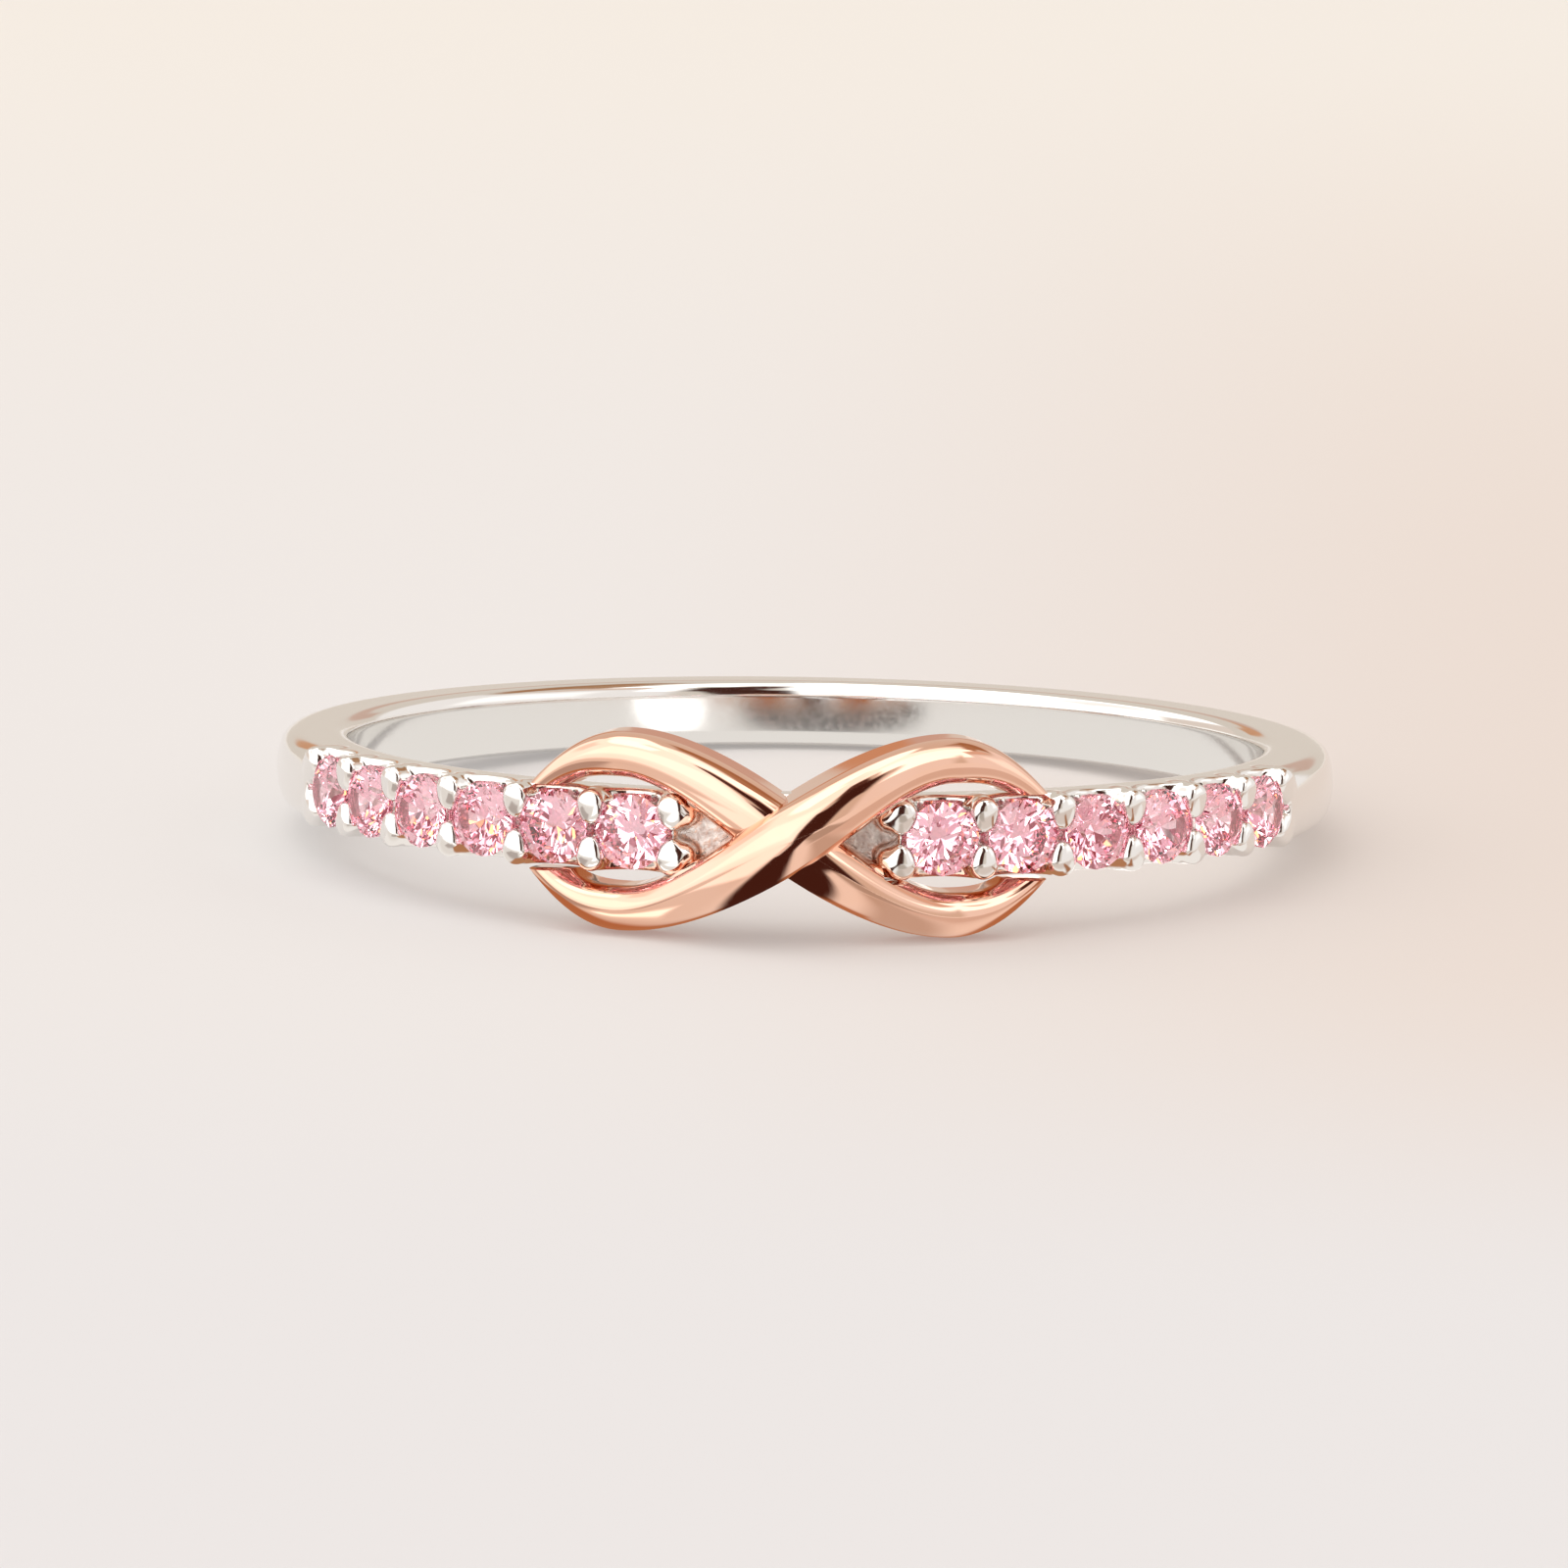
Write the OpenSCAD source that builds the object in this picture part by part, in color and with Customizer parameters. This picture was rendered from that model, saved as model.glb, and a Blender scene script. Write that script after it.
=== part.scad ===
// Infinity ring: a polished band with six round stones on each shoulder, and a rose-gold
// infinity of two crossing strands that is soldered over the front of the band.
// Millimetres, with the origin at the middle of the finger hole. The ring lies on its side with
// its front towards -Y. It rests on the two lower bows of the infinity and on the back of the
// band, so the finger hole leans back a little.

/* [Band] */
// Diameter of the finger hole
bore_d = 17.3; // [15:0.1:20]
// Thickness of the band's wall
band_t = 1.35; // [1.2:0.05:1.6]
// Width of the band at the front, along the finger
band_w = 1.5; // [1.45:0.05:1.7]
// Width of the band at the back
back_w = 1.3; // [1.1:0.05:1.4]
// Radius of the band's rounded outside, across its width
crown_r = 1.5; // [1.2:0.1:3]
// Bevel along the edges of the bore
edge_bevel = 0.1; // [0.05:0.01:0.15]

/* [Stones] */
// Diameter of a stone
stone_d = 1.35; // [1.2:0.01:1.38]
// Stones on each shoulder
stones_side = 6; // [4:1:8]
// Gap between neighbouring stones
stone_gap = 0.19; // [0.15:0.01:0.3]
// From the middle of the front to the nearest stone's centre, along the stone row
first_stone = 2.83; // [2.75:0.01:2.95]
// Depth of the stones' girdles below the outside of the band
girdle_sink = 0.2; // [0.15:0.01:0.28]
// Width of the flat table, across its corners
table_d = 0.78; // [0.6:0.01:0.9]
// Thickness of a stone's girdle
girdle_t = 0.04; // [0.03:0.01:0.06]
// Slope of the crown's main facets
crown_angle = 34; // [30:1:38]
// Slope of the pavilion's main facets
pavilion_angle = 40; // [38:1:42]
// How far the star facets reach from the table's corners to the girdle, as a share
star_share = 0.45; // [0.35:0.01:0.55]
// How far the pavilion's main facets reach up from the culet as a full kite, as a share
main_share = 0.25; // [0.15:0.01:0.3]

/* [Setting] */
// Diameter of the bead on a prong
bead_d = 0.54; // [0.5:0.01:0.58]
// Diameter of the beads on the four end prongs of a row
end_bead_d = 0.6; // [0.54:0.01:0.64]
// Diameter of the smaller bead that reaches in between two stones
claw_d = 0.44; // [0.36:0.01:0.48]
// From the bead to the smaller bead, across the band
claw_reach = 0.17; // [0.12:0.01:0.22]
// How much wider a bead is than its post
bead_lip = 0.04; // [0.03:0.01:0.06]
// Height of the beads above the outside of the band
bead_rise = 0.06; // [0:0.01:0.1]
// Depth of the wall between the prongs, below the outside of the band
wall_drop = 0.42; // [0.38:0.01:0.5]
// Radius of the scallops that are cut in the wall beside each stone
scallop_r = 0.7; // [0.6:0.01:0.8]
// Depth of the scallops below the outside of the band
scallop_drop = 0.65; // [0.55:0.01:0.7]
// Diameter of the light hole under each stone
light_hole_d = 0.6; // [0.4:0.05:0.7]
// Depth of the plain plate under the crossing, below the outside of the band
plate_drop = 0.6; // [0.5:0.05:0.7]

/* [Infinity] */
// From the crossing to the end of a strand, behind the band's edge
strand_half = 5.0; // [4.9:0.05:5.2]
// From the crossing to where a strand's line would come back to the middle of the band
strand_reach = 5.39; // [5.3:0.01:5.6]
// Greatest distance of a strand's line from the middle of the band
strand_rise = 1.39; // [1.35:0.01:1.6]
// Width of a strand at the top of its bow
bow_w = 0.86; // [0.6:0.01:0.9]
// Width of the upper strand at the crossing
over_w = 1.25; // [1:0.01:1.4]
// Width of the lower strand at the crossing
under_w = 1.2; // [0.9:0.01:1.3]
// Width of a strand at its ends
end_w = 0.44; // [0.36:0.01:0.6]
// Height of the upper strand above the outside of the band, at the crossing
over_h = 0.85; // [0.6:0.05:0.9]
// Height of the lower strand above the outside of the band, at the crossing
under_h = 0.3; // [0.2:0.05:0.5]
// Height of a bow above the outside of the band
bow_h = 0.15; // [0.1:0.05:0.4]
// Height of a strand's ends above the outside of the band
end_h = 0; // [0:0.05:0.2]
// Height of a strand's rounded face
dome_h = 0.58; // [0.4:0.01:0.6]
// Depth of a strand's flat underside below the outside of the band
strand_drop = 0.8; // [0.7:0.05:0.9]
// Fullness of a strand's rounded face: 2 is an ellipse, and more is squarer
dome_power = 2.3; // [2:0.1:3]
// Draft of a strand's side walls: how far each leans in for every millimetre of its height
wall_draft = 0.05; // [0:0.01:0.1]
// Sections along each strand
strand_steps = 56; // [30:2:70]
// Points across a strand's rounded face
dome_steps = 12; // [8:2:16]

/* [Fit] */
// Gap between the band and the infinity
metal_gap = 0.03; // [0.02:0.01:0.05]
// Gap between a stone and its seat
seat_gap = 0.02; // [0.015:0.005:0.03]

/* [Hidden] */
bore_r = bore_d / 2;
outer_r = bore_r + band_t;
girdle_r = outer_r - girdle_sink;
plate_r = outer_r - plate_drop;
wall_r = outer_r - wall_drop;
stone_pitch = stone_d + stone_gap;
// The setting runs from the prongs beside the nearest stones to those beyond the last ones.
row_start = first_stone - stone_pitch / 2;
row_end = first_stone + (stones_side - 0.5) * stone_pitch;
// A strand's line is a cubic, s(1 - s^2) along its reach, scaled so that its peak is 1.
line_gain = 1.5 * sqrt(3);
bow_u = strand_reach / sqrt(3);
strand_base_r = outer_r - strand_drop;
// The ring leans back on the bows, which stand lower than the back of the band: it touches the
// floor under the inner edge of each bow and under the outer edge of the back.
bow_low = strand_rise + bow_w / 2;
bow_y = strand_base_r * cos(angle_at(bow_u, outer_r));
back_y = outer_r - crown_r + sqrt(pow(crown_r, 2) - pow(back_w / 2, 2));
lean = atan((bow_low - back_w / 2) / (bow_y + back_y));
// How far a cutter runs past what it cuts
over = 1;
$fn = 96;

// The angle of a place u millimetres along a circle of radius r.
function angle_at(u, r) = u / r * 180 / PI;

function smooth_step(x) = let (t = min(max(x, 0), 1)) t * t * (3 - 2 * t);

// A value that goes from a at the crossing to b on the bow and c at the strand's end.
function along(u, a, b, c) =
    let (k = abs(u))
    a + (b - a) * smooth_step(k / bow_u) + (c - b) * smooth_step((k - bow_u) / (strand_half - bow_u));

// The strand's line, unrolled: the distance from the middle of the band at u along it.
function strand_v(u, side) =
    side * strand_rise * line_gain * u / strand_reach * (1 - pow(u / strand_reach, 2));

function strand_slope(u, side) =
    side * strand_rise * line_gain / strand_reach * (1 - 3 * pow(u / strand_reach, 2));

// A point of the unrolled band, u along it and v across it, at radius r.
function on_ring(u, v, r) =
    let (a = angle_at(u, outer_r))
    [r * sin(a), -r * cos(a), v];

// One section of a strand, square to its line: a rounded face over a flat underside.
function strand_section(u, side) =
    let (v = strand_v(u, side),
         slope = strand_slope(u, side),
         run = sqrt(1 + slope * slope),
         across = [-slope / run, 1 / run],
         half_w = along(u, side > 0 ? over_w : under_w, bow_w, end_w) / 2,
         top = outer_r + along(u, side > 0 ? over_h : under_h, bow_h, end_h),
         face_w = half_w - (top - dome_h - strand_base_r) * wall_draft)
    concat(
        [for (i = [0:dome_steps])
            let (t = 180 * i / dome_steps,
                 x = face_w * sign(cos(t)) * pow(abs(cos(t)), 2 / dome_power),
                 h = dome_h * pow(sin(t), 2 / dome_power))
            on_ring(u + x * across[0], v + x * across[1], top - dome_h + h)],
        [for (x = [-half_w, half_w])
            on_ring(u + x * across[0], v + x * across[1], strand_base_r)]);

// Leans the ring as it lies on its bows and the back of its band.
module at_rest() {
    rotate([-lean, 0, 0]) children();
}

// Puts a child at a place u along the stone row, level with the girdles, with +Z outwards.
module at_row(u) {
    rotate([0, 0, angle_at(u, girdle_r)]) rotate([90, 0, 0]) translate([0, 0, girdle_r]) children();
}

module place_stones() {
    for (side = [-1, 1]) for (i = [0:stones_side - 1])
        at_row(side * (first_stone + i * stone_pitch)) children();
}

// The band's section, in the plane of radius and axis, out to radius top.
module band_profile(top) {
    mid = (bore_r + outer_r) / 2;
    bevel_reach = (band_t + band_w) / 2 - edge_bevel;
    intersection() {
        translate([bore_r, -band_w / 2]) square([top - bore_r, band_w]);
        translate([outer_r - crown_r, 0]) circle(r = crown_r);
        translate([mid, 0]) rotate(45) square(bevel_reach * sqrt(2), center = true);
    }
}

// A slice of a ring between two places along the stone row, on both shoulders or across the front.
module ring_arc(from_u, to_u) {
    from_a = angle_at(from_u, girdle_r);
    to_a = angle_at(to_u, girdle_r);
    rotate([0, 0, -90 + from_a]) rotate_extrude(angle = to_a - from_a) children();
}

// The band's metal before the stones are cut in: a plain shank that is stepped down to the
// setting's wall beside the stones and to the plate under the crossing.
module blank() {
    ring_arc(-row_start, row_start) band_profile(plate_r);
    for (side = [-1, 1])
        ring_arc(side > 0 ? row_start : -row_end, side > 0 ? row_end : -row_start)
            band_profile(wall_r);
    rotate([0, 0, 180]) ring_arc_back() band_profile(outer_r);
}

// The shank's arc, from the last prongs of one shoulder round the back to the other.
module ring_arc_back() {
    half_a = 180 - angle_at(row_end, girdle_r);
    rotate([0, 0, -90 - half_a]) rotate_extrude(angle = 2 * half_a) children();
}

// A slab that narrows from the front of the band to its back.
module taper() {
    reach = outer_r + over;
    narrowing = (band_w - back_w) / 2 / (2 * outer_r);
    front = band_w / 2 + narrowing * over;
    back = back_w / 2 - narrowing * over;
    rotate([90, 0, 90]) linear_extrude(2 * reach, center = true)
        polygon([[-reach, -front], [reach, -back], [reach, back], [-reach, front]]);
}

// The space a stone needs, a little larger than the stone, open above its table.
module seat() {
    r = stone_d / 2 + seat_gap;
    crown_h = (stone_d - table_d) / 2 * tan(crown_angle);
    rotate_extrude() polygon([
        [0, -girdle_t - r * tan(pavilion_angle)],
        [r, -girdle_t],
        [r, seat_gap],
        [table_d / 2 + seat_gap, crown_h + seat_gap],
        [table_d / 2 + seat_gap, girdle_sink + over],
        [0, girdle_sink + over]
    ]);
}

// A post with a bead on top, whose tops are all level.
module post(d) {
    bead_z = girdle_sink + bead_rise - d / 2;
    translate([0, 0, -wall_drop]) cylinder(h = wall_drop + bead_z, d = d - bead_lip);
    translate([0, 0, bead_z]) sphere(d = d);
}

// A prong at the band's edge, flush with its side, with a smaller bead towards the middle.
module prong(d) {
    translate([0, band_w / 2 - d / 2, 0]) post(d);
    translate([0, band_w / 2 - d / 2 - claw_reach, 0]) post(claw_d);
}

module prongs() {
    for (side = [-1, 1]) for (i = [0:stones_side]) {
        d = i == 0 || i == stones_side ? end_bead_d : bead_d;
        at_row(side * (row_start + i * stone_pitch)) {
            prong(d);
            mirror([0, 1, 0]) prong(d);
        }
    }
}

module scallop() {
    translate([0, 0, girdle_sink - scallop_drop + scallop_r])
        rotate([90, 0, 0]) cylinder(h = band_w + over, r = scallop_r, center = true);
}

module light_hole() {
    translate([0, 0, bore_r - girdle_r - over]) cylinder(h = over + girdle_r - bore_r - girdle_t,
        d = light_hole_d);
}

module band() {
    color("gainsboro") at_rest() difference() {
        union() {
            difference() {
                intersection() {
                    blank();
                    taper();
                }
                place_stones() scallop();
            }
            prongs();
        }
        place_stones() seat();
        place_stones() light_hole();
    }
}

// The room that the infinity leaves for the band: under the crossing down to the plate, and
// beside it past the prongs.
module band_room() {
    half = band_w / 2 + metal_gap;
    inside = bore_r - over;
    start = row_start - end_bead_d / 2 - metal_gap;
    translate([0, 0, -half]) cylinder(h = 2 * half, r = plate_r + metal_gap);
    for (side = [-1, 1])
        ring_arc(side > 0 ? start : -row_end, side > 0 ? row_end : -start)
            translate([inside, -half]) square([outer_r + bead_rise + metal_gap - inside, 2 * half]);
}

// One strand as a chain of short convex pieces between neighbouring sections.
module strand(side) {
    step = 2 * strand_half / strand_steps;
    last = len(strand_section(0, side));
    for (i = [0:strand_steps - 1]) {
        u = -strand_half + i * step;
        hull() polyhedron(
            points = concat(strand_section(u, side), strand_section(u + step, side)),
            faces = [[for (k = [0:last - 1]) k], [for (k = [2 * last - 1:-1:last]) k]]);
    }
}

module infinity() {
    color("darksalmon") at_rest() difference() {
        union() {
            strand(1);
            strand(-1);
        }
        band_room();
    }
}

// A round brilliant: an octagonal table, 8 star, 8 kite and 16 upper girdle facets on the
// crown, and 16 lower girdle and 8 main facets on the pavilion. The girdle's top is at z = 0.
module brilliant() {
    r = stone_d / 2;
    table_r = table_d / 2;
    star_r = table_r + (r - table_r) * star_share;
    lower_r = r * main_share;
    crown_t = tan(crown_angle);
    pavilion_t = tan(pavilion_angle);
    table = [for (k = [0:7]) [table_r * cos(45 * k), table_r * sin(45 * k), (r - table_r) * crown_t]];
    stars = [for (k = [0:7])
        let (a = 45 * k + 22.5)
        [star_r * cos(a), star_r * sin(a), (r - star_r * cos(22.5)) * crown_t]];
    rim = [for (z = [0, -girdle_t]) for (k = [0:15]) [r * cos(22.5 * k), r * sin(22.5 * k), z]];
    lows = [for (k = [0:7])
        let (a = 45 * k + 22.5)
        [lower_r * cos(a), lower_r * sin(a), -girdle_t - (r - lower_r * cos(22.5)) * pavilion_t]];
    culet = [[0, 0, -girdle_t - r * pavilion_t]];
    t = 0;
    s = 8;
    g = 16;
    b = 32;
    p = 48;
    c = 56;
    polyhedron(
        points = concat(table, stars, rim, lows, culet),
        faces = concat(
            [[for (k = [7:-1:0]) t + k]],
            [for (k = [0:7]) [t + k, t + (k + 1) % 8, s + k]],
            [for (k = [0:7]) [t + k, s + k, g + 2 * k, s + (k + 7) % 8]],
            [for (k = [0:7]) [s + k, g + 2 * k + 1, g + 2 * k]],
            [for (k = [0:7]) [s + k, g + (2 * k + 2) % 16, g + 2 * k + 1]],
            [for (k = [0:15]) [g + k, g + (k + 1) % 16, b + (k + 1) % 16, b + k]],
            [for (k = [0:7]) [p + k, b + 2 * k, b + 2 * k + 1]],
            [for (k = [0:7]) [p + k, b + 2 * k + 1, b + (2 * k + 2) % 16]],
            [for (k = [0:7]) [c, p + (k + 7) % 8, b + 2 * k, p + k]]));
}

module stone(side, i) {
    color("hotpink") at_rest() at_row(side * (first_stone + (stones_side - i) * stone_pitch))
        brilliant();
}

band();
infinity();
for (i = [1:stones_side]) {
    stone(-1, i);
    stone(1, i);
}
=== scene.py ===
"""Looks of the infinity ring: a silver band with twelve pink stones and a rose gold infinity.

Sizes are in millimetres where they repeat the part's own values, and MM turns them to metres.
The ring frame has the finger hole's axis along Z and the front towards -Y. to_rest() leans the
ring back as it lies on its side. An unrolled place on the band has u along it, counted from the
front, and v across it.
"""
import math
from collections import namedtuple

import bmesh
import bpy
import numpy as np
from mathutils import Matrix, Vector


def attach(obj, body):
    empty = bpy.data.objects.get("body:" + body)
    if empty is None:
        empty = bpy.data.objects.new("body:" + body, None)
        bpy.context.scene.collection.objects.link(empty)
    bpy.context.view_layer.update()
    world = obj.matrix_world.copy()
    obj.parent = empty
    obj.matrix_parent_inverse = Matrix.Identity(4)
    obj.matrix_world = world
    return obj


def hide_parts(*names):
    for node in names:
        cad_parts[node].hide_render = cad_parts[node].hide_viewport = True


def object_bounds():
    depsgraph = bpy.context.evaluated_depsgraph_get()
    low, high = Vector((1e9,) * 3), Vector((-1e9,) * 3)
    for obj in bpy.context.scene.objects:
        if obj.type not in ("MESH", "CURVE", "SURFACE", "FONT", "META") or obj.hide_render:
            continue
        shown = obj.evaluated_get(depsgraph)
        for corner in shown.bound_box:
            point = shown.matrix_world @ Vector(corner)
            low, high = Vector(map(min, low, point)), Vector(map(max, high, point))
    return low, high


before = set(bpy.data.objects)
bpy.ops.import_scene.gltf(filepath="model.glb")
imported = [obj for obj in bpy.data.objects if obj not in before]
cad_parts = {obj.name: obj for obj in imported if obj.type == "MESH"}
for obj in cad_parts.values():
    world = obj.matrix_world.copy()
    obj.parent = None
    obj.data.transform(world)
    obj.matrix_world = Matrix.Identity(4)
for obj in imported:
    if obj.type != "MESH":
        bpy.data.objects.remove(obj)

cad_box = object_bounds()
MM = 0.001

# Band
BORE_R, OUTER_R = 8.65, 10.0
BAND_W, BACK_W = 1.5, 1.3
CROWN_R = 1.5
GIRDLE_R = OUTER_R - 0.2
WALL_R = OUTER_R - 0.42
PLATE_R = OUTER_R - 0.6
INNER_ROUNDING = 0.3
OUTER_ROUNDING = 0.25
WALL_ROUNDING = 0.09
# How far the plate and the walls run on under the prongs at the ends of a stone row
OVERLAP = 0.15

# Stones
STONES_SIDE = 6
STONE_D = 1.35
STONE_PITCH = STONE_D + 0.19
FIRST_STONE = 2.83
ROW_START = FIRST_STONE - STONE_PITCH / 2
ROW_END = FIRST_STONE + (STONES_SIDE - 0.5) * STONE_PITCH
TABLE_D = 0.78
GIRDLE_T = 0.04
CROWN_SLOPE = math.tan(math.radians(34))
PAVILION_SLOPE = math.tan(math.radians(40))
SEAT_GAP = 0.02
SEAT_TIP_R = 0.02
LIGHT_HOLE_D = 0.6
CUTTER_REACH = 1

# Setting: heights are counted from the girdles
BEAD_D, END_BEAD_D, CLAW_D = 0.54, 0.6, 0.44
CLAW_REACH = 0.17
BEAD_TOP = 0.26
POST_FOOT = -0.42
SCALLOP_R = 0.7
SCALLOP_R_CENTRE = OUTER_R - 0.65 + SCALLOP_R
BEAD_BLEND = 0.08
PAD_TOP, PAD_ROUNDING = 0.2, 0.12
HEEL_OUT, HEEL_IN, HEEL_TOP, HEEL_D = 0.2, 0.26, -0.12, 0.44
FOOT_BLEND = 0.08

# Infinity: the strand that rises to the right has side 1, and the other -1
STRAND_HALF, STRAND_REACH, STRAND_RISE = 5.0, 5.39, 1.39
BOW_U = STRAND_REACH / math.sqrt(3)
BOW_W, END_W = 0.86, 0.44
BOW_H, END_H = 0.15, 0.0
CROSS_W = {1: 1.25, -1: 1.2}
CROSS_H = {1: 0.85, -1: 0.3}
GAIN_AT_CROSSING = 1.5 * math.sqrt(3)
DOME_H = 0.58
DOME_POWER = 2.3
WALL_DRAFT = 0.05
STRAND_BASE_R = OUTER_R - 0.8
METAL_GAP = 0.03
BEAD_RISE = 0.06

# How the ring leans on its bows and the back of its band
BOW_LOW = STRAND_RISE + BOW_W / 2
BOW_Y = STRAND_BASE_R * math.cos(BOW_U / OUTER_R)
BACK_Y = OUTER_R - CROWN_R + math.sqrt(CROWN_R ** 2 - (BACK_W / 2) ** 2)
LEAN = math.atan((BOW_LOW - BACK_W / 2) / (BOW_Y + BACK_Y))

# Camera: the fitted view of the ring, in the ring frame
CAM_AZIMUTH, CAM_ELEVATION, CAM_ROLL = 1.867, 7.279, 0.995
CAM_DISTANCE = 160
PHOTO_SIDE = 1600
FOCAL_PX = 8601
CENTRE_X_PX, CENTRE_Y_PX = 821.5, 785.2
SENSOR_MM = 36
CLIP_START, CLIP_END = 0.01, 10


def to_rest():
    """The turn from the ring frame to rest, with metres in place of millimetres."""
    return Matrix.Rotation(-LEAN, 4, "X") @ Matrix.Scale(MM, 4)


def mesh_object(name, points, faces):
    """An object with a mesh of these points and faces."""
    mesh = bpy.data.meshes.new(name)
    mesh.from_pydata([tuple(p) for p in points], [], [tuple(f) for f in faces])
    mesh.update()
    piece = bpy.data.objects.new(name, mesh)
    bpy.context.scene.collection.objects.link(piece)
    return piece


def loft(name, sections):
    """A closed solid through sections, an array of (section, point, xyz), with flat end caps."""
    count, around = sections.shape[:2]
    rings = np.arange(count * around).reshape(count, around)
    here, after = rings[:-1], rings[1:]
    walls = np.stack([here, after, np.roll(after, -1, 1), np.roll(here, -1, 1)], -1)
    faces = walls.reshape(-1, 4).tolist() + [rings[0].tolist(), rings[-1][::-1].tolist()]
    piece = mesh_object(name, sections.reshape(-1, 3), faces)
    face_outwards(piece)
    return piece


def face_outwards(piece):
    """Turns the faces of a closed solid to the outside."""
    edit = bmesh.new()
    edit.from_mesh(piece.data)
    bmesh.ops.recalc_face_normals(edit, faces=edit.faces)
    edit.to_mesh(piece.data)
    edit.free()


def joined(name, pieces):
    """One object of several solids that don't touch."""
    edit = bmesh.new()
    for piece in pieces:
        edit.from_mesh(piece.data)
        bpy.data.objects.remove(piece)
    mesh = bpy.data.meshes.new(name)
    edit.to_mesh(mesh)
    edit.free()
    whole = bpy.data.objects.new(name, mesh)
    bpy.context.scene.collection.objects.link(whole)
    return whole


def combine(piece, tool, operation):
    """Joins a closed solid to the piece, or cuts it away."""
    step = piece.modifiers.new(operation.lower(), "BOOLEAN")
    step.operation = operation
    step.solver = "MANIFOLD"
    step.object = tool
    bpy.context.view_layer.update()
    graph = bpy.context.evaluated_depsgraph_get()
    mesh = bpy.data.meshes.new_from_object(piece.evaluated_get(graph))
    piece.modifiers.clear()
    piece.data = mesh
    bpy.data.objects.remove(tool)


def smooth_shaded(piece, angle_deg):
    """Shades the piece smoothly, apart from edges sharper than the angle."""
    piece.data.shade_smooth()
    piece.data.set_sharp_from_angle(angle=math.radians(angle_deg))


def on_ring(u, v, r):
    """A point of the unrolled band, u along it and v across it, at radius r."""
    angle = u / OUTER_R
    return np.stack(np.broadcast_arrays(r * np.sin(angle), -r * np.cos(angle), v), -1)


# The infinity

STRAND_STEPS = 360
FACE_STEPS = 36
ARC_STEPS = 120
INFINITY_SHARP_DEG = 40


def smooth_step(x):
    """0 up to x = 0, 1 from x = 1 on, and an even curve between them."""
    t = np.clip(x, 0, 1)
    return t * t * (3 - 2 * t)


def along(u, crossing, bow, end):
    """A value that goes from the crossing's to the bow's and the end's."""
    k = np.abs(u)
    return (crossing + (bow - crossing) * smooth_step(k / BOW_U)
            + (end - bow) * smooth_step((k - BOW_U) / (STRAND_HALF - BOW_U)))


def strand(side):
    """One half-round strand: a rounded face over a flat underside, square to its line, which is
    a cubic curve through the crossing that rises to STRAND_RISE at BOW_U."""
    gain = side * STRAND_RISE * GAIN_AT_CROSSING / STRAND_REACH
    u = np.linspace(-STRAND_HALF, STRAND_HALF, STRAND_STEPS + 1)[:, None]
    v = gain * u * (1 - (u / STRAND_REACH) ** 2)
    slope = gain * (1 - 3 * (u / STRAND_REACH) ** 2)
    run = np.sqrt(1 + slope ** 2)
    half_w = along(u, CROSS_W[side], BOW_W, END_W) / 2
    top = OUTER_R + along(u, CROSS_H[side], BOW_H, END_H)
    t = np.linspace(0, math.pi, FACE_STEPS + 1)[None, :]
    x = half_w * np.sign(np.cos(t)) * np.abs(np.cos(t)) ** (2 / DOME_POWER)
    r = top - DOME_H + DOME_H * np.sin(t) ** (2 / DOME_POWER)
    x *= 1 - (top - DOME_H - STRAND_BASE_R) * WALL_DRAFT / half_w
    under_x = half_w * np.array([[-1, -0.5, 0, 0.5, 1]])
    x = np.concatenate([x, under_x], 1)
    r = np.concatenate([r, np.full_like(under_x, STRAND_BASE_R)], 1)
    return loft("strand", on_ring(u - x * slope / run, v + x / run, r))


def arc_block(from_angle, to_angle, inner_r, outer_r, half_width):
    """A block that follows the ring between two angles from the front."""
    angle = np.linspace(from_angle, to_angle, ARC_STEPS)[:, None] * OUTER_R
    r = np.array([[inner_r, outer_r, outer_r, inner_r]])
    v = half_width * np.array([[-1, -1, 1, 1]])
    return loft("room", on_ring(angle, v, r))


def build_infinity():
    """The two strands as one solid, with the band's room cut out of its underside."""
    piece = strand(1)
    combine(piece, strand(-1), "UNION")
    half = BAND_W / 2 + METAL_GAP
    start = (ROW_START - END_BEAD_D / 2 - METAL_GAP) / GIRDLE_R
    end = ROW_END / GIRDLE_R
    top = OUTER_R + BEAD_RISE + METAL_GAP
    rooms = [arc_block(side * start, side * end, BORE_R, top, half) for side in (-1, 1)]
    combine(piece, joined("rooms", rooms), "DIFFERENCE")
    plate = PLATE_R + METAL_GAP
    combine(piece, arc_block(-end, end, BORE_R, plate, half), "DIFFERENCE")
    piece.name = piece.data.name = "infinity_smooth"
    piece.data.transform(to_rest())
    smooth_shaded(piece, INFINITY_SHARP_DEG)
    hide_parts("infinity")
    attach(piece, "root")
    return piece


# The band

FINE_STEP = 0.042
COARSE_STEP = 0.3
# How far the fine steps run on before and after a stone row
FINE_BEFORE, FINE_AFTER = 0.5, 0.6
GRID_MARGIN = 0.12
TURNED_SIDES = 72
BAND_SHARP_DEG = 55

# Metal stays unpolished from the mould, and rough with painted shade, from this far below the
# walls' tops, and this far off the bore, off the plate's sides and off the girdles' ends. The
# fades say how far the change takes.
CAST_DEPTH, CAST_OFF_BORE = 0.04, 0.05
CAST_OFF_SIDE, CAST_OFF_GIRDLE = 0.03, 0.12
DEPTH_FADE, SIDE_FADE, ROW_FADE = 0.06, 0.05, 0.1


def smooth_max(a, b, blend):
    """The larger of two fields, with a rounding where they are about the same."""
    return np.maximum(a, b) + np.maximum(blend - np.abs(a - b), 0) ** 2 / (4 * blend)


def smooth_min(a, b, blend):
    """The smaller of two fields, with a fillet where they are about the same."""
    return -smooth_max(-a, -b, blend)


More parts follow.
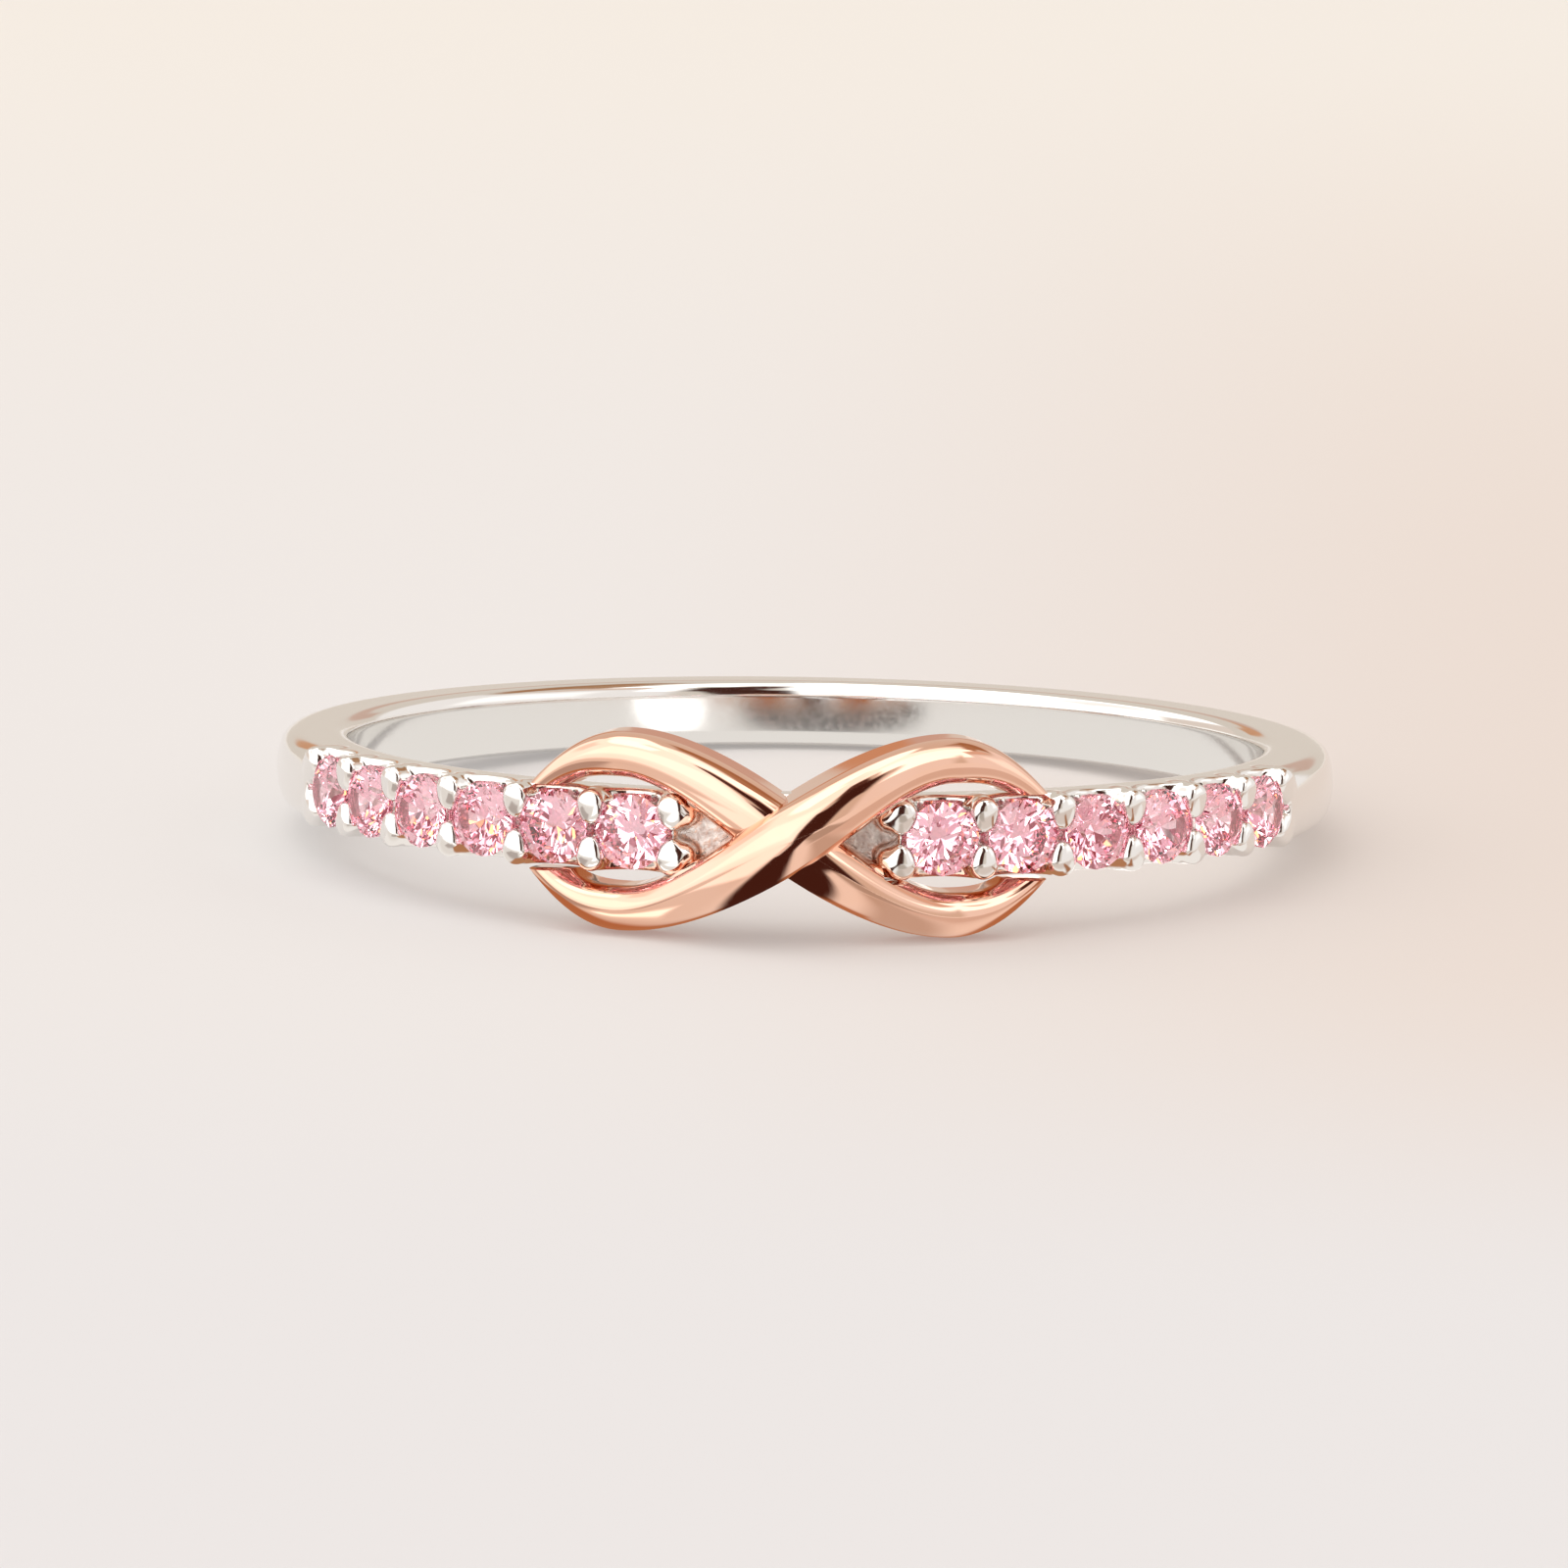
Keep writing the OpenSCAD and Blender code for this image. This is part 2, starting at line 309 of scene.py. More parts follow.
def to_capsule(x, y, z, foot, head, radius):
    """Distance to a post with a round head, upright along z."""
    nearest = np.clip(z, foot, head)
    return np.sqrt(x ** 2 + y ** 2 + (z - nearest) ** 2) - radius


def prong_field(x, y, z, bead_d, heel):
    """Distance to a prong: a flattened bead at the band's edge, a claw that reaches inwards from
    it, and with heel set a heel towards the crossing. x runs along the band, y across it and z
    up from the girdles."""
    y_bead = BAND_W / 2 - bead_d / 2
    head = BEAD_TOP - bead_d / 2
    post = to_capsule(x, y - y_bead, z, POST_FOOT, head, bead_d / 2)
    claw = to_capsule(x, y - y_bead + CLAW_REACH, z, POST_FOOT, head, CLAW_D / 2)
    prong = smooth_max(smooth_min(post, claw, BEAD_BLEND), z - PAD_TOP, PAD_ROUNDING)
    back = to_capsule(x + HEEL_OUT, y - y_bead + HEEL_IN - CLAW_REACH, z, POST_FOOT,
                      HEEL_TOP, HEEL_D / 2)
    return np.where(heel, smooth_min(prong, back, BEAD_BLEND), prong)


def band_field(points):
    """Distance to the band's metal before the seats are cut, negative inside it."""
    x, y, z = np.moveaxis(points, -1, 0)
    r = np.hypot(x, y)
    angle = np.abs(np.arctan2(x, -y))
    u = angle * GIRDLE_R
    z = np.abs(z)
    half_w = (BAND_W + BACK_W) / 4 - (BAND_W - BACK_W) / 4 * y / OUTER_R

    sides = smooth_max(BORE_R - r, z - half_w, INNER_ROUNDING)
    crown = np.hypot(r - OUTER_R + CROWN_R, z) - CROWN_R
    shank = smooth_max(smooth_max(sides, crown, OUTER_ROUNDING), ROW_END - u, WALL_ROUNDING)
    plate = smooth_max(smooth_max(sides, r - PLATE_R, WALL_ROUNDING), u - ROW_START - OVERLAP,
                       WALL_ROUNDING)
    wall = smooth_max(sides, r - WALL_R, WALL_ROUNDING)
    wall = smooth_max(wall, np.maximum(ROW_START - u, u - ROW_END - OVERLAP), WALL_ROUNDING)

    stone = np.clip(np.round((u - FIRST_STONE) / STONE_PITCH), 0, STONES_SIDE - 1)
    turn = angle - (FIRST_STONE + stone * STONE_PITCH) / GIRDLE_R
    scallop = np.hypot(r * np.sin(turn), r * np.cos(turn) - SCALLOP_R_CENTRE) - SCALLOP_R
    wall = smooth_max(wall, -scallop, WALL_ROUNDING)

    prong = np.clip(np.round((u - ROW_START) / STONE_PITCH), 0, STONES_SIDE)
    turn = angle - (ROW_START + prong * STONE_PITCH) / GIRDLE_R
    bead_d = np.where((prong == 0) | (prong == STONES_SIDE), END_BEAD_D, BEAD_D)
    prongs = prong_field(r * np.sin(turn), z, r * np.cos(turn) - GIRDLE_R, bead_d, prong == 0)
    body = np.minimum(np.minimum(shank, plate), wall)
    return smooth_min(body, prongs, FOOT_BLEND)


def row_of_steps():
    """Angles round the ring: close together along the stones, and wide apart elsewhere."""
    fine = np.arange(ROW_START - FINE_BEFORE, ROW_END + FINE_AFTER, FINE_STEP)
    half_turn = math.pi * GIRDLE_R
    back = np.linspace(fine[-1], half_turn, round((half_turn - fine[-1]) / COARSE_STEP) + 1)[1:]
    front = np.linspace(0, fine[0], round(fine[0] / COARSE_STEP * 2) + 1)[:-1]
    one_side = np.concatenate([front, fine, back])
    return np.concatenate([-one_side[-2:0:-1], one_side]) / GIRDLE_R


def surface_net(points, field):
    """A closed mesh where field is 0 on a grid of points that joins up along its first axis.

    Each cell that the surface crosses gets one vertex, and each grid edge that it crosses gets
    one face between the four cells round that edge."""
    inside = field < 0
    shape = (field.shape[0], field.shape[1] - 1, field.shape[2] - 1)
    total, hits = np.zeros(shape + (3,)), np.zeros(shape)
    crossings = []
    for axis in range(3):
        beyond = np.roll(field, -1, axis)
        crossed = inside != np.roll(inside, -1, axis)
        if axis:
            crossed[(slice(None),) * axis + (-1,)] = False
        share = np.where(crossed, field / np.where(crossed, field - beyond, 1), 0)[..., None]
        at = points + share * (np.roll(points, -1, axis) - points)
        others = [k for k in range(3) if k != axis]
        for first in (0, 1):
            for second in (0, 1):
                mask, place = crossed, at
                for k, shift in zip(others, (first, second)):
                    mask, place = np.roll(mask, -shift, k), np.roll(place, -shift, k)
                mask = mask[:, :-1, :-1]
                total += np.where(mask[..., None], place[:, :-1, :-1], 0)
                hits += mask
        crossings.append(np.argwhere(crossed))
    used = hits > 0
    number = np.full(shape, -1)
    number[used] = np.arange(used.sum())
    faces = []
    for axis, edges in enumerate(crossings):
        first, second = [k for k in range(3) if k != axis]
        corners = []
        for back in ((0, 0), (1, 0), (1, 1), (0, 1)):
            cell = edges.copy()
            cell[:, first] -= back[0]
            cell[:, second] -= back[1]
            cell[:, 0] %= shape[0]
            corners.append(number[tuple(cell.T)])
        quads = np.stack(corners, -1)
        flip = inside[tuple(edges.T)] != (axis == 1)
        quads[flip] = quads[flip][:, ::-1]
        faces.append(quads)
    return total[used] / hits[used][:, None], np.concatenate(faces)


def settled(points, field, rounds=4, reach=0.004, longest_move=0.03, least_slope=0.3):
    """Moves points onto the surface where field is 0, with slopes measured over the reach."""
    for _ in range(rounds):
        slope = np.stack([field(points + d) - field(points - d) for d in np.eye(3) * reach], -1)
        slope /= 2 * reach
        steep = np.maximum((slope ** 2).sum(-1), least_slope)
        move = np.clip(field(points) / steep, -longest_move, longest_move)
        points = points - move[:, None] * slope
    return points


def at_row(piece, u):
    """Puts a piece that stands along +Z at u along the stone row, level with the girdles."""
    place = (Matrix.Rotation(u / GIRDLE_R, 4, "Z") @ Matrix.Rotation(math.radians(90), 4, "X")
             @ Matrix.Translation((0, 0, GIRDLE_R)))
    piece.data.transform(place)
    return piece


def turned(name, outline):
    """A round solid from (radius, height) pairs."""
    t = np.arange(TURNED_SIDES) * 2 * math.pi / TURNED_SIDES
    circles = [np.stack([r * np.cos(t), r * np.sin(t), np.full_like(t, h)], -1)
               for r, h in outline]
    return loft(name, np.array(circles))


def seat_cutter():
    """The room of one stone and of the way above it, for the cut into the band."""
    r = STONE_D / 2 + SEAT_GAP
    neck = TABLE_D / 2 + SEAT_GAP
    crown_h = (STONE_D - TABLE_D) / 2 * CROWN_SLOPE
    tip_h = -GIRDLE_T - (r - SEAT_TIP_R) * PAVILION_SLOPE
    return turned("seat", [(SEAT_TIP_R, tip_h), (r, -GIRDLE_T), (r, SEAT_GAP),
                           (neck, crown_h + SEAT_GAP), (neck, CUTTER_REACH)])


def light_hole_cutter():
    """The hole under one stone, through to the bore."""
    return turned("light_hole", [(LIGHT_HOLE_D / 2, BORE_R - GIRDLE_R - CUTTER_REACH),
                                 (LIGHT_HOLE_D / 2, -GIRDLE_T)])


def stone_places():
    """Where the stones sit along the band, from the front to the back on each side."""
    return [side * (FIRST_STONE + i * STONE_PITCH) for side in (-1, 1) for i in range(STONES_SIDE)]


def mark_unpolished_and_shade(mesh):
    """Marks the sunk surfaces between the stones and on the plate, which a polish can't reach:
    they stay rough, and get painted shade.
    """
    points = np.empty(len(mesh.vertices) * 3)
    mesh.vertices.foreach_get("co", points)
    x, y, z = points.reshape(-1, 3).T
    r = np.hypot(x, y)
    u = np.abs(np.arctan2(x, -y)) * GIRDLE_R
    deep = smooth_step((WALL_R - CAST_DEPTH - r) / DEPTH_FADE)
    deep *= smooth_step((r - BORE_R - CAST_OFF_BORE) / SIDE_FADE)
    half_w = np.where(u < ROW_START, BAND_W / 2 - CAST_OFF_SIDE, STONE_D / 2 - CAST_OFF_GIRDLE)
    between = smooth_step((half_w - np.abs(z)) / SIDE_FADE)
    between *= smooth_step((ROW_END - u) / ROW_FADE)
    layer = mesh.attributes.new("cast_and_shade", "FLOAT", "POINT")
    layer.data.foreach_set("value", (deep * between).astype(np.float32))


def build_band():
    """The silver band as one smooth solid, with a seat and a light hole for each stone."""
    angle = row_of_steps()[:, None, None]
    reach = BAND_W / 2 + GRID_MARGIN
    v = np.linspace(-reach, reach, round(2 * reach / FINE_STEP))[None, :, None]
    low, high = BORE_R - GRID_MARGIN, OUTER_R + BEAD_RISE + GRID_MARGIN
    r = np.linspace(low, high, round((high - low) / FINE_STEP))[None, None, :]
    points = np.stack(np.broadcast_arrays(r * np.sin(angle), -r * np.cos(angle), v), -1)
    places, faces = surface_net(points, band_field(points))
    piece = mesh_object("band_smooth", settled(places, band_field), faces)
    face_outwards(piece)
    for cutter in (seat_cutter, light_hole_cutter):
        combine(piece, joined("cutters", [at_row(cutter(), u) for u in stone_places()]),
                "DIFFERENCE")
    mark_unpolished_and_shade(piece.data)
    piece.data.transform(to_rest())
    smooth_shaded(piece, BAND_SHARP_DEG)
    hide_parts("band")
    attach(piece, "root")
    return piece


# Materials

# Sizes and depths of the noises, and the values of a noise between which a look changes
TONE_SIZE, STONE_TONE_SIZE = 1.2, 0.6
BUFF_SIZE, BUFF_DEPTH, BUFF_STRENGTH = 0.12, 0.002, 0.15
BUFF_STRETCH = (0.25, 1, 1)
GRAIN_SIZE, GRAIN_DEPTH = 0.16, 0.06
SOFT_CHANGE, CLEAR_CHANGE = (0.3, 0.7), (0.35, 0.65)

ROSE_COLOURS = (0.93, 0.585, 0.44), (0.94, 0.61, 0.475)
SILVER_COLOUR = (0.88, 0.87, 0.85)
# The sunk unpolished places are painted darker and pinker than the silver: painted shade, mottled
# by the grain.
CAST_SHADE_COLOURS = (0.6, 0.49, 0.45), (0.9, 0.84, 0.8)
ROSE_GLOSS, SILVER_GLOSS, CAST_ROUGHNESS = (0.035, 0.07), (0.07, 0.12), 0.4
STONE_COLOURS = (1, 0.86, 0.9), (1, 0.8, 0.86)
STONE_DEPTHS_COLOUR = (0.97, 0.3, 0.48)
STONE_IOR, STONE_DENSITY = 2.15, 350

# Where the floor's colour changes, in metres to the right and to the back of the middle. To the
# right it turns darker and warmer with painted shade.
SIDE_CHANGE, NEAR_CHANGE, FAR_CHANGE = (-0.008, 0.018), (-0.036, -0.01), (0.01, 0.16)


def finished(piece, material):
    """Gives the piece this material alone."""
    piece.data.materials.clear()
    piece.data.materials.append(material)


def node_material(name):
    """A material with its nodes and links."""
    material = bpy.data.materials.new(name)
    material.use_nodes = True
    return material, material.node_tree.nodes, material.node_tree.links


def noise(nodes, links, size, detail, stretch=(1, 1, 1)):
    """A noise value, with features of about size metres."""
    place = nodes.new("ShaderNodeTexCoord")
    scale = nodes.new("ShaderNodeMapping")
    scale.inputs["Scale"].default_value = stretch
    cloud = nodes.new("ShaderNodeTexNoise")
    cloud.inputs["Scale"].default_value = 1 / size
    cloud.inputs["Detail"].default_value = detail
    links.new(place.outputs["Object"], scale.inputs["Vector"])
    links.new(scale.outputs["Vector"], cloud.inputs["Vector"])
    return cloud.outputs["Fac"]


def spread(nodes, links, value, low, high, before, after):
    """A number that goes from before to after as the value goes from low to high."""
    span = nodes.new("ShaderNodeMapRange")
    for socket, number in (("From Min", low), ("From Max", high), ("To Min", before),
                           ("To Max", after)):
        if isinstance(number, (int, float)):
            span.inputs[socket].default_value = number
        else:
            links.new(number, span.inputs[socket])
    links.new(value, span.inputs["Value"])
    return span.outputs["Result"]


def blend(nodes, links, coordinate, low, high, before, after):
    """A colour that goes from before to after as the coordinate goes from low to high."""
    span = nodes.new("ShaderNodeMapRange")
    span.interpolation_type = "SMOOTHSTEP"
    span.inputs["From Min"].default_value = low
    span.inputs["From Max"].default_value = high
    mix = nodes.new("ShaderNodeMix")
    mix.data_type = "RGBA"
    links.new(coordinate, span.inputs["Value"])
    links.new(span.outputs["Result"], mix.inputs["Factor"])
    for socket, colour in (("A", before), ("B", after)):
        if isinstance(colour, tuple):
            mix.inputs[socket].default_value = (*colour, 1)
        else:
            links.new(colour, mix.inputs[socket])
    return mix.outputs["Result"]


def bumped(nodes, links, height, depth, strength):
    """Tilts the surface by a height field, depth in metres."""
    bump = nodes.new("ShaderNodeBump")
    bump.inputs["Distance"].default_value = depth
    links.new(height, bump.inputs["Height"])
    if isinstance(strength, (int, float)):
        bump.inputs["Strength"].default_value = strength
    else:
        links.new(strength, bump.inputs["Strength"])
    return bump


def rose_gold():
    """Polished rose gold with faint marks of the buff and a slightly uneven gloss."""
    material, nodes, links = node_material("rose_gold")
    shader = nodes["Principled BSDF"]
    shader.inputs["Metallic"].default_value = 1
    tone = noise(nodes, links, TONE_SIZE * MM, 3)
    colour = blend(nodes, links, tone, *SOFT_CHANGE, *ROSE_COLOURS)
    links.new(colour, shader.inputs["Base Color"])
    buff = noise(nodes, links, BUFF_SIZE * MM, 3, BUFF_STRETCH)
    gloss = spread(nodes, links, buff, *SOFT_CHANGE, *ROSE_GLOSS)
    links.new(gloss, shader.inputs["Roughness"])
    bump = bumped(nodes, links, buff, BUFF_DEPTH * MM, BUFF_STRENGTH)
    links.new(bump.outputs["Normal"], shader.inputs["Normal"])
    return material


def silver():
    """Polished silver, which is rough and uneven where it stays unpolished from the mould, and
    darker there with painted shade.
    """
    material, nodes, links = node_material("silver")
    shader = nodes["Principled BSDF"]
    shader.inputs["Metallic"].default_value = 1
    cast_and_shade = nodes.new("ShaderNodeAttribute")
    cast_and_shade.attribute_name = "cast_and_shade"
    cast_and_shade = cast_and_shade.outputs["Fac"]
    grain = noise(nodes, links, GRAIN_SIZE * MM, 4)
    # The unpolished places' colour: darker mottled tones, painted shade.
    dull_with_shade = blend(nodes, links, grain, *CLEAR_CHANGE, *CAST_SHADE_COLOURS)
    colour = blend(nodes, links, cast_and_shade, 0, 1, SILVER_COLOUR, dull_with_shade)
    links.new(colour, shader.inputs["Base Color"])
    buff = noise(nodes, links, BUFF_SIZE * MM, 3)
    gloss = spread(nodes, links, buff, *SOFT_CHANGE, *SILVER_GLOSS)
    matt = spread(nodes, links, cast_and_shade, 0, 1, gloss, CAST_ROUGHNESS)
    links.new(matt, shader.inputs["Roughness"])
    bump = bumped(nodes, links, grain, GRAIN_DEPTH * MM, cast_and_shade)
    links.new(bump.outputs["Normal"], shader.inputs["Normal"])
    return material


def pink_stone():
    """Clear pink stone, which deepens with the light's way through it."""
    material, nodes, links = node_material("pink_stone")
    shader = nodes["Principled BSDF"]
    tone = noise(nodes, links, STONE_TONE_SIZE * MM, 2)
    colour = blend(nodes, links, tone, *CLEAR_CHANGE, *STONE_COLOURS)
    links.new(colour, shader.inputs["Base Color"])
    shader.inputs["Roughness"].default_value = 0
    shader.inputs["IOR"].default_value = STONE_IOR
    shader.inputs["Transmission Weight"].default_value = 1
    depth = nodes.new("ShaderNodeVolumeAbsorption")
    depth.inputs["Color"].default_value = (*STONE_DEPTHS_COLOUR, 1)
    depth.inputs["Density"].default_value = STONE_DENSITY
    links.new(depth.outputs["Volume"], nodes["Material Output"].inputs["Volume"])
    return material


def floor_material():
    """A pale matt surface, darker and warmer to the right of the ring with painted shade, and
    creamy behind it. It glows with its own colour, painted light that lightens the shadows on it.
    """
    material, nodes, links = node_material("floor")
    shader = nodes["Principled BSDF"]
    place = nodes.new("ShaderNodeTexCoord")
    split = nodes.new("ShaderNodeSeparateXYZ")
    links.new(place.outputs["Object"], split.inputs["Vector"])
    across, back = split.outputs["X"], split.outputs["Y"]
    # Darker and warmer to the right of the ring: painted shade.
    side_shade = blend(nodes, links, across, *SIDE_CHANGE, FLOOR_LEFT, FLOOR_RIGHT_SHADE)
    near = blend(nodes, links, back, *NEAR_CHANGE, FLOOR_NEAR, side_shade)
    colour = blend(nodes, links, back, *FAR_CHANGE, near, FLOOR_FAR)
    links.new(colour, shader.inputs["Base Color"])
    # The floor glows with its own colour: painted light that lightens the shadows on it.
    links.new(colour, shader.inputs["Emission Color"])
    shader.inputs["Emission Strength"].default_value = FLOOR_GLOW
    shader.inputs["Roughness"].default_value = 1
    shader.inputs["Specular IOR Level"].default_value = 0
    return material


# Floor and studio light

# The floor's colours: the right one is darker and warmer as painted shade, and FLOOR_GLOW makes
# the floor glow with them as painted light.
FLOOR_NEAR = (0.5, 0.49, 0.492)
FLOOR_LEFT = (0.514, 0.498, 0.49)
FLOOR_RIGHT_SHADE = (0.497, 0.442, 0.408)
FLOOR_FAR = (0.546, 0.52, 0.486)
FLOOR_GLOW = 0.5
FLOOR_HALF = 1.2
DOME_R = 1.8
WORLD_COLOUR = (0.9, 0.84, 0.76)
BOUNCES = 16

# The dome's patches run from -DOME_SEAM to 360 - DOME_SEAM degrees of azimuth
DOME_SEAM = 140

# The front card fans out from FAN_START in front of the ring's middle, and lies from CARD_START
# to CARD_START + CARD_DEPTH. The cards lie just above the floor, and not at the same height.
FAN_START, FAN_HALF_DEG = 4, 80
CARD_START, CARD_DEPTH, CARD_ROWS = 5, 900, 200
INNER_MIDDLE_R, INNER_RINGS, INNER_TURN_DEG = 0.1, 80, 2
FRONT_CARD_LIFT, INNER_CARD_LIFT = 0.01, 0.005

# The panes of light that the stones show: the share of each sort, and its colour
SPARKLE_R, PANE_DEG, SPARKLE_SEED = 1.4, 9, 7
PANES = [
    (0.26, (0.3, 0.03, 0.07)),
    (0.24, (0.9, 0.7, 0.74)),
    (0.3, (2.2, 2.1, 2.1)),
    (0.14, (6.5, 6.4, 6.3)),
    (0.06, (5, 2.4, 0.9)),
]

# Where light comes from. Each patch has its left and right edge at its bottom and at its top, and
# lies over the patches before it. On the dome they are in degrees of azimuth, 0 in front and
# growing to the right, and of elevation. On the front card they are in millimetres, to the right
# of the ring's middle and in front of it.
Patch = namedtuple("Patch", "bottom low_left low_right top high_left high_right colour soft")
DARK = (0.06, 0.018, 0.012)
SURROUNDINGS = (0.72, 0.64, 0.56)
DOME = {
    "top": Patch(68, -140, 220, 120, -140, 220, (1.6, 1.56, 1.52), 6),
    "back_top": Patch(50, 182, 300, 120, 160, 300, (1.9, 1.86, 1.82), 5),
    "brown_wall": Patch(7.4, 150, 188, 18, 150, 190, (0.62, 0.43, 0.35), 2),
    "orange_wall": Patch(7.4, 184, 206, 18, 186, 206, (0.62, 0.32, 0.18), 2),
    "brown_corner": Patch(42, 118, 176, 66, 110, 166, (0.4, 0.2, 0.1), 6),
    "brown_ceiling": Patch(54, 84, 152, 70, 80, 152, (0.45, 0.25, 0.14), 5),
    "beige_ceiling": Patch(43, 54, 112, 58, 52, 92, (0.78, 0.55, 0.44), 5),
    "right_window": Patch(-8, 36, 148, 46, 34, 144, (0.95, 0.9, 0.87), 6),
    "right_core": Patch(4, 60, 112, 40, 60, 112, (1.25, 1.21, 1.18), 10),
    "right_glint": Patch(26, 38, 52, 64, 42, 58, (1.95, 1.9, 1.86), 4),
    "top_right": Patch(56, 30, 92, 84, 30, 100, (1.9, 1.86, 1.82), 5),
    "left_window": Patch(-8, -150, 6, 88, -150, 14, (1.45, 1.42, 1.38), 4),
    "left_shade": Patch(28, -126, -82, 54, -126, -82, (1.12, 1.04, 0.98), 9),
    "left_floor": Patch(-8, -150, -98, 20, -150, -104, (0.8, 0.68, 0.6), 6),
    "left_core": Patch(4, -74, 0, 52, -60, 8, (1.7, 1.67, 1.62), 8),
    "left_top": Patch(58, -150, -30, 82, -150, -30, (2.1, 2.05, 2.0), 5),
    "dark_top": Patch(40, 12, 38, 70, 4, 24, (0.1, 0.04, 0.03), 4),
    "dark_flag": Patch(-8, 2, 25, 34, 4, 36, DARK, 4),
    "dark_flag_top": Patch(22, 8, 38, 56, 16, 40, DARK, 5),
}
FRONT_GROUND = (0.96, 0.9, 0.85)
FRONT = {
    "right_near": Patch(9.5, 2.5, 40, 18, 2.5, 60, (0.74, 0.62, 0.55), 1.5),
    "left_table": Patch(7, -400, -0.9, 900, -900, 80, (0.85, 0.78, 0.72), 1.2),
    "left_far": Patch(16, -900, -1, 900, -900, 80, (1.4, 1.36, 1.32), 14),
    "left_strip": Patch(12.5, -5.5, -0.9, 60, -14, 2, (1.4, 1.36, 1.32), 0.8),
    "left_shade": Patch(9, -11, -3.9, 14.4, -15, -7, (0.5, 0.42, 0.38), 0.9),
    "left_line": Patch(10.1, -4.6, -2.3, 11, -4.8, -2.6, (1.75, 1.7, 1.62), 0.25),
    "grey_table": Patch(8.2, 0.4, 2.9, 15, 2.4, 4.6, (0.6, 0.5, 0.43), 0.8),
    "grey_table_far": Patch(14.5, 2, 7, 60, 10, 30, (0.5, 0.42, 0.36), 1.5),
    "brown_edge": Patch(8, 5, 7.2, 14.3, 11, 13.4, (0.4, 0.17, 0.08), 0.6),
    "under_left": Patch(6, -5.5, 1.5, 9.9, -6, 1.5, (0.48, 0.21, 0.1), 0.25),
    "under_right": Patch(6, 1, 5.5, 9.55, 1, 6, (0.48, 0.21, 0.1), 0.25),
    "dark_flag_near": Patch(7, -1.4, 0.3, 17, -0.9, 1.8, DARK, 0.4),
    "dark_flag": Patch(16, -0.7, 1.7, 36, 2.1, 8, DARK, 0.6),
    "dark_flag_far": Patch(34, 1.4, 7.5, 900, 70, 330, DARK, 1),
}
# The card inside the ring, in the same millimetres as the front card. The back's inner wall,
# which is a hollow mirror, shows it.
INNER_GROUND = (0.86, 0.82, 0.78)
INNER = {
    "glint": Patch(-4, 0, 0.1, 7.5, 5.9, 13.6, (1.9, 1.86, 1.82), 0.4),
    "shade": Patch(-4, -0.1, 0.1, 7.5, -7.6, 4.6, (0.2, 0.185, 0.175), 1.2),
}


def painted(across, up, ground, patches):
    """The light at places of a card, from its ground colour and its patches."""
    glow = np.broadcast_to(ground, across.shape + (3,))
    for patch in patches.values():
        rise = (up - patch.bottom) / (patch.top - patch.bottom)
        left = patch.low_left + (patch.high_left - patch.low_left) * rise
        right = patch.low_right + (patch.high_right - patch.low_right) * rise
        sides = np.minimum(across - left, right - across)
        edge = np.minimum(sides, np.minimum(up - patch.bottom, patch.top - up))
        cover = smooth_step(edge / patch.soft)[..., None]
        glow = glow + cover * (np.array(patch.colour) - glow)
    return glow


def build_floor(height):
    """The pale floor that the ring lies on."""
    corners = [(-1, -1), (1, -1), (1, 1), (-1, 1)]
    points = [(x * FLOOR_HALF, y * FLOOR_HALF, height) for x, y in corners]
    floor = mesh_object("floor", points, [(0, 1, 2, 3)])
    floor.data.materials.append(floor_material())


def glow_material():
    """Shines with the colours of the mesh's glow layer."""
    material, nodes, links = node_material("glow")
    nodes.remove(nodes["Principled BSDF"])
    colour = nodes.new("ShaderNodeAttribute")
    colour.attribute_name = "glow"
    light = nodes.new("ShaderNodeEmission")
    links.new(colour.outputs["Color"], light.inputs["Color"])
    links.new(light.outputs["Emission"], nodes["Material Output"].inputs["Surface"])
    material.cycles.emission_sampling = "NONE"
    return material


def light_card(name, points, glow, domain="POINT"):
    """A studio card through a grid of points, which the camera doesn't see. Its glow is given
    for each point, or with the domain CORNER for each corner of its panes."""
    rows, columns = points.shape[:2]
    spot = np.arange(rows * columns).reshape(rows, columns)
    quads = np.stack([spot[:-1, :-1], spot[1:, :-1], spot[1:, 1:], spot[:-1, 1:]], -1)
    piece = mesh_object(name, points.reshape(-1, 3), quads.reshape(-1, 4))
    colours = np.ones((glow.size // 3, 4), np.float32)
    colours[:, :3] = glow.reshape(-1, 3)
    layer = piece.data.attributes.new("glow", "FLOAT_COLOR", domain)
    layer.data.foreach_set("color", colours.ravel())
    piece.data.materials.append(glow_material())
    piece.visible_camera = False
    return piece


def dome_points(azimuth, elevation, radius):
    """Places on a dome round the ring, from grids of degrees."""
    a, e = np.radians(azimuth), np.radians(elevation)
    way = np.stack([np.sin(a) * np.cos(e), -np.cos(a) * np.cos(e), np.sin(e)], -1)
    return way * radius


def build_dome():
    """The studio round the ring."""
    azimuth, elevation = np.meshgrid(np.arange(-120, 241), np.arange(91), indexing="ij")
    glow = painted((azimuth + DOME_SEAM) % 360 - DOME_SEAM, elevation, SURROUNDINGS, DOME)
    light_card("dome", dome_points(azimuth, elevation, DOME_R), glow)


